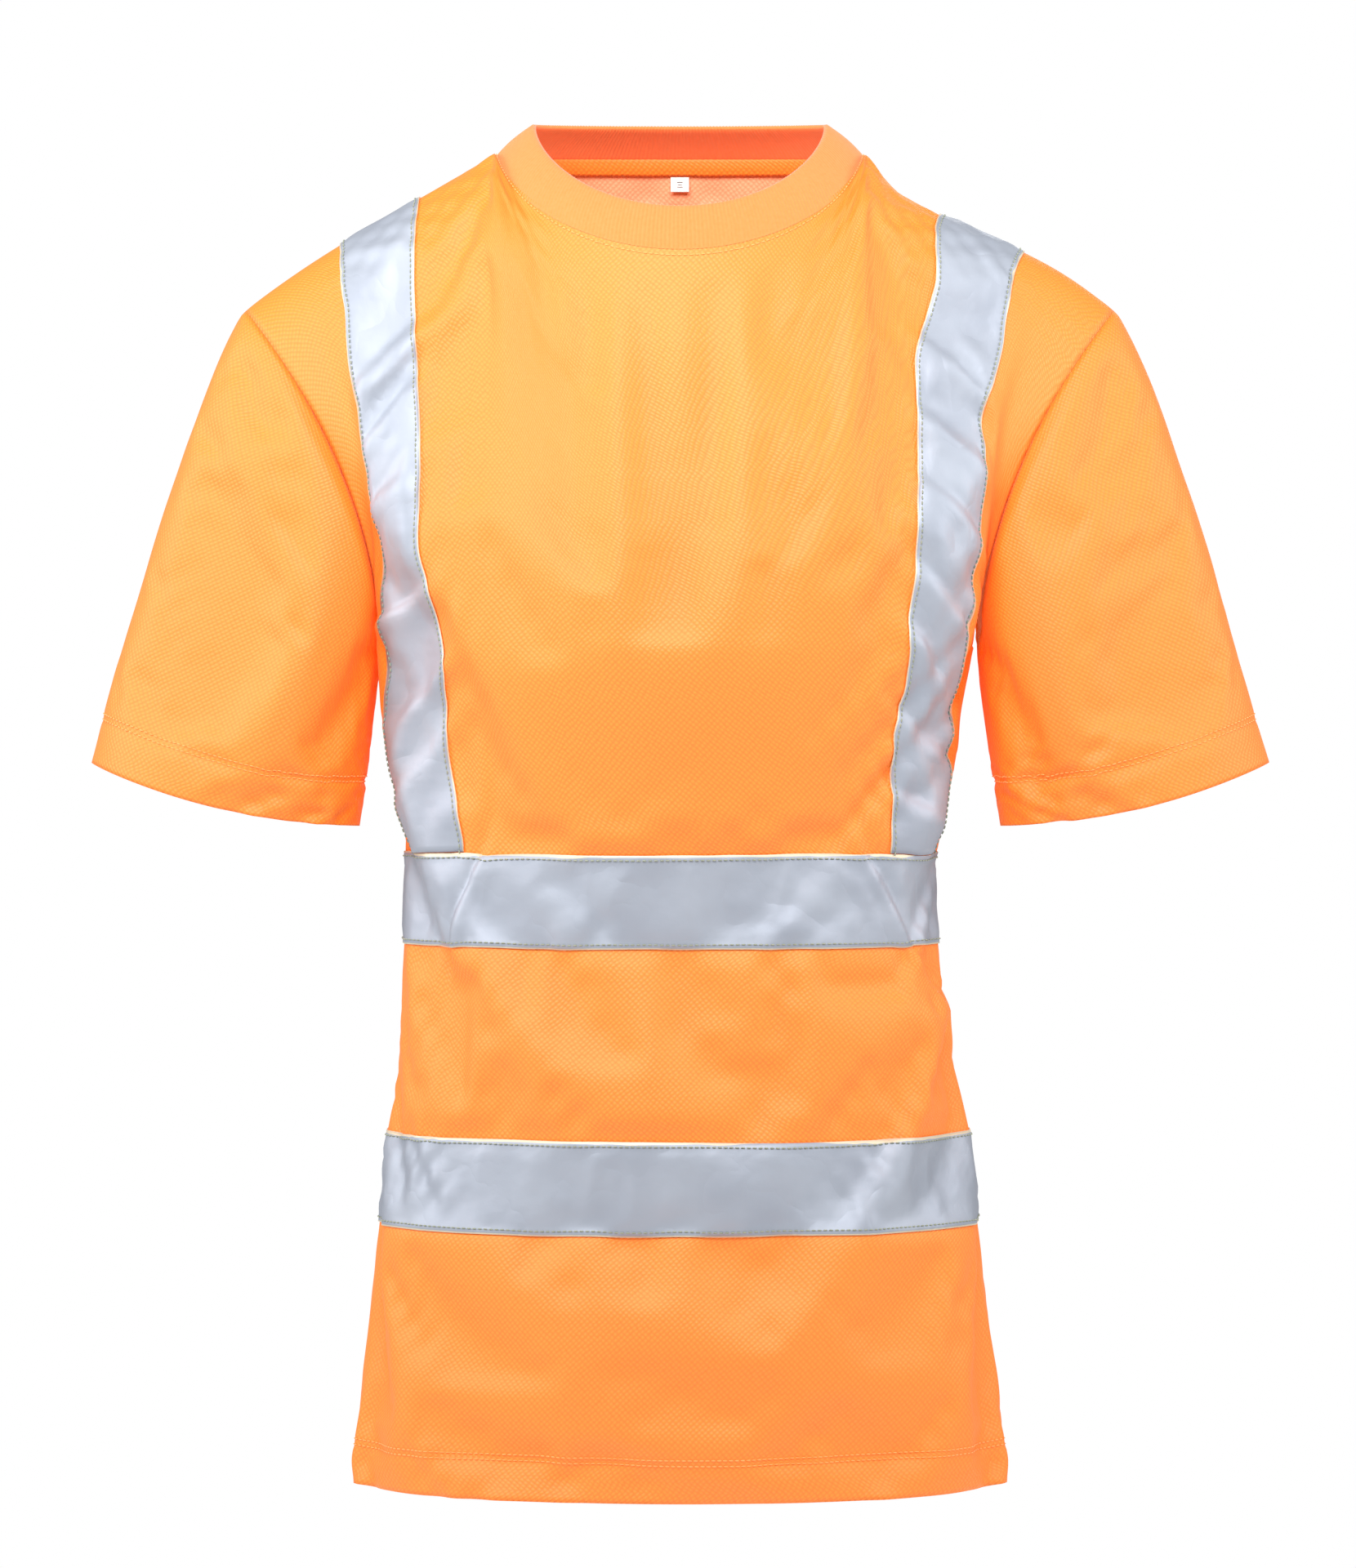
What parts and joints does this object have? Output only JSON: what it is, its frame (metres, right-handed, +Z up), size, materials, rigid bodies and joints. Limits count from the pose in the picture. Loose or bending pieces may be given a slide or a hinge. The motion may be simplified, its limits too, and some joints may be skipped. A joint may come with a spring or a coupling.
{
  "type": "high-visibility t-shirt",
  "caption": "Short-sleeved crew-neck high-visibility T-shirt in orange knit, with reflective tape round the body and over both shoulders, filled out as worn.",
  "frame": {"origin": "on the centre plane, level with the high shoulder points, the neck ends of the shoulder seams, where a wearer's shoulders or a bust form hold the shirt up", "axes": "+Z up, -Y the way the wearer faces, +X towards the wearer's left"},
  "size_m": [0.629, 0.2328, 0.7247],
  "materials": {
    "orange_knit": "matt birdseye polyester knit",
    "orange_rib": "matt one-by-one rib knit",
    "reflective_tape": "satin silver glass-bead retroreflective cloth",
    "label_satin": "woven satin",
    "orange_thread": "spun polyester sewing thread",
    "grey_thread": "spun polyester sewing thread"
  },
  "bodies": {
    "torso": {"front_panel": "orange_knit", "back_panel": "orange_knit", "back_neck_tape": "orange_knit", "neck_rib": "orange_rib", "upper_band_front": "reflective_tape", "upper_band_back": "reflective_tape", "upper_band_top_thread": "grey_thread", "upper_band_bottom_thread": "grey_thread", "lower_band_front": "reflective_tape", "lower_band_back": "reflective_tape", "lower_band_top_thread": "grey_thread", "lower_band_bottom_thread": "grey_thread", "right_brace": "reflective_tape", "right_brace_inner_thread": "grey_thread", "right_brace_outer_thread": "grey_thread", "right_side_seam_thread": "orange_thread", "right_shoulder_seam_thread": "orange_thread", "right_armhole_thread": "orange_thread", "left_brace": "reflective_tape", "left_brace_inner_thread": "grey_thread", "left_brace_outer_thread": "grey_thread", "left_side_seam_thread": "orange_thread", "left_shoulder_seam_thread": "orange_thread", "left_armhole_thread": "orange_thread", "neck_topstitch": "orange_thread", "hem_thread": "orange_thread"},
    "right_sleeve": {"right_sleeve": "orange_knit", "right_sleeve_hem_thread": "orange_thread", "right_underarm_thread": "orange_thread"},
    "left_sleeve": {"left_sleeve": "orange_knit", "left_sleeve_hem_thread": "orange_thread", "left_underarm_thread": "orange_thread"},
    "size_label": {"size_label": "label_satin"},
    "care_label": {"care_label": "label_satin"}
  },
  "joints": [
    {"name": "right_sleeve_lift", "type": "hinge", "parent": "torso", "child": "right_sleeve", "pos_m": [-0.2325, 0, -0.0815], "axis": [0, 1, 0], "range_deg": [0, 30]},
    {"name": "left_sleeve_lift", "type": "hinge", "parent": "torso", "child": "left_sleeve", "pos_m": [0.2325, 0, -0.0815], "axis": [0, -1, 0], "range_deg": [0, 30]},
    {"name": "size_label_flip", "type": "hinge", "parent": "torso", "child": "size_label", "pos_m": [0, 0.06445, -0.0045], "axis": [-1, 0, 0], "range_deg": [0, 90]},
    {"name": "care_label_swing", "type": "hinge", "parent": "torso", "child": "care_label", "pos_m": [0.1541, 0, -0.59], "axis": [0, 0, 1], "range_deg": [-65, 65]}
  ]
}
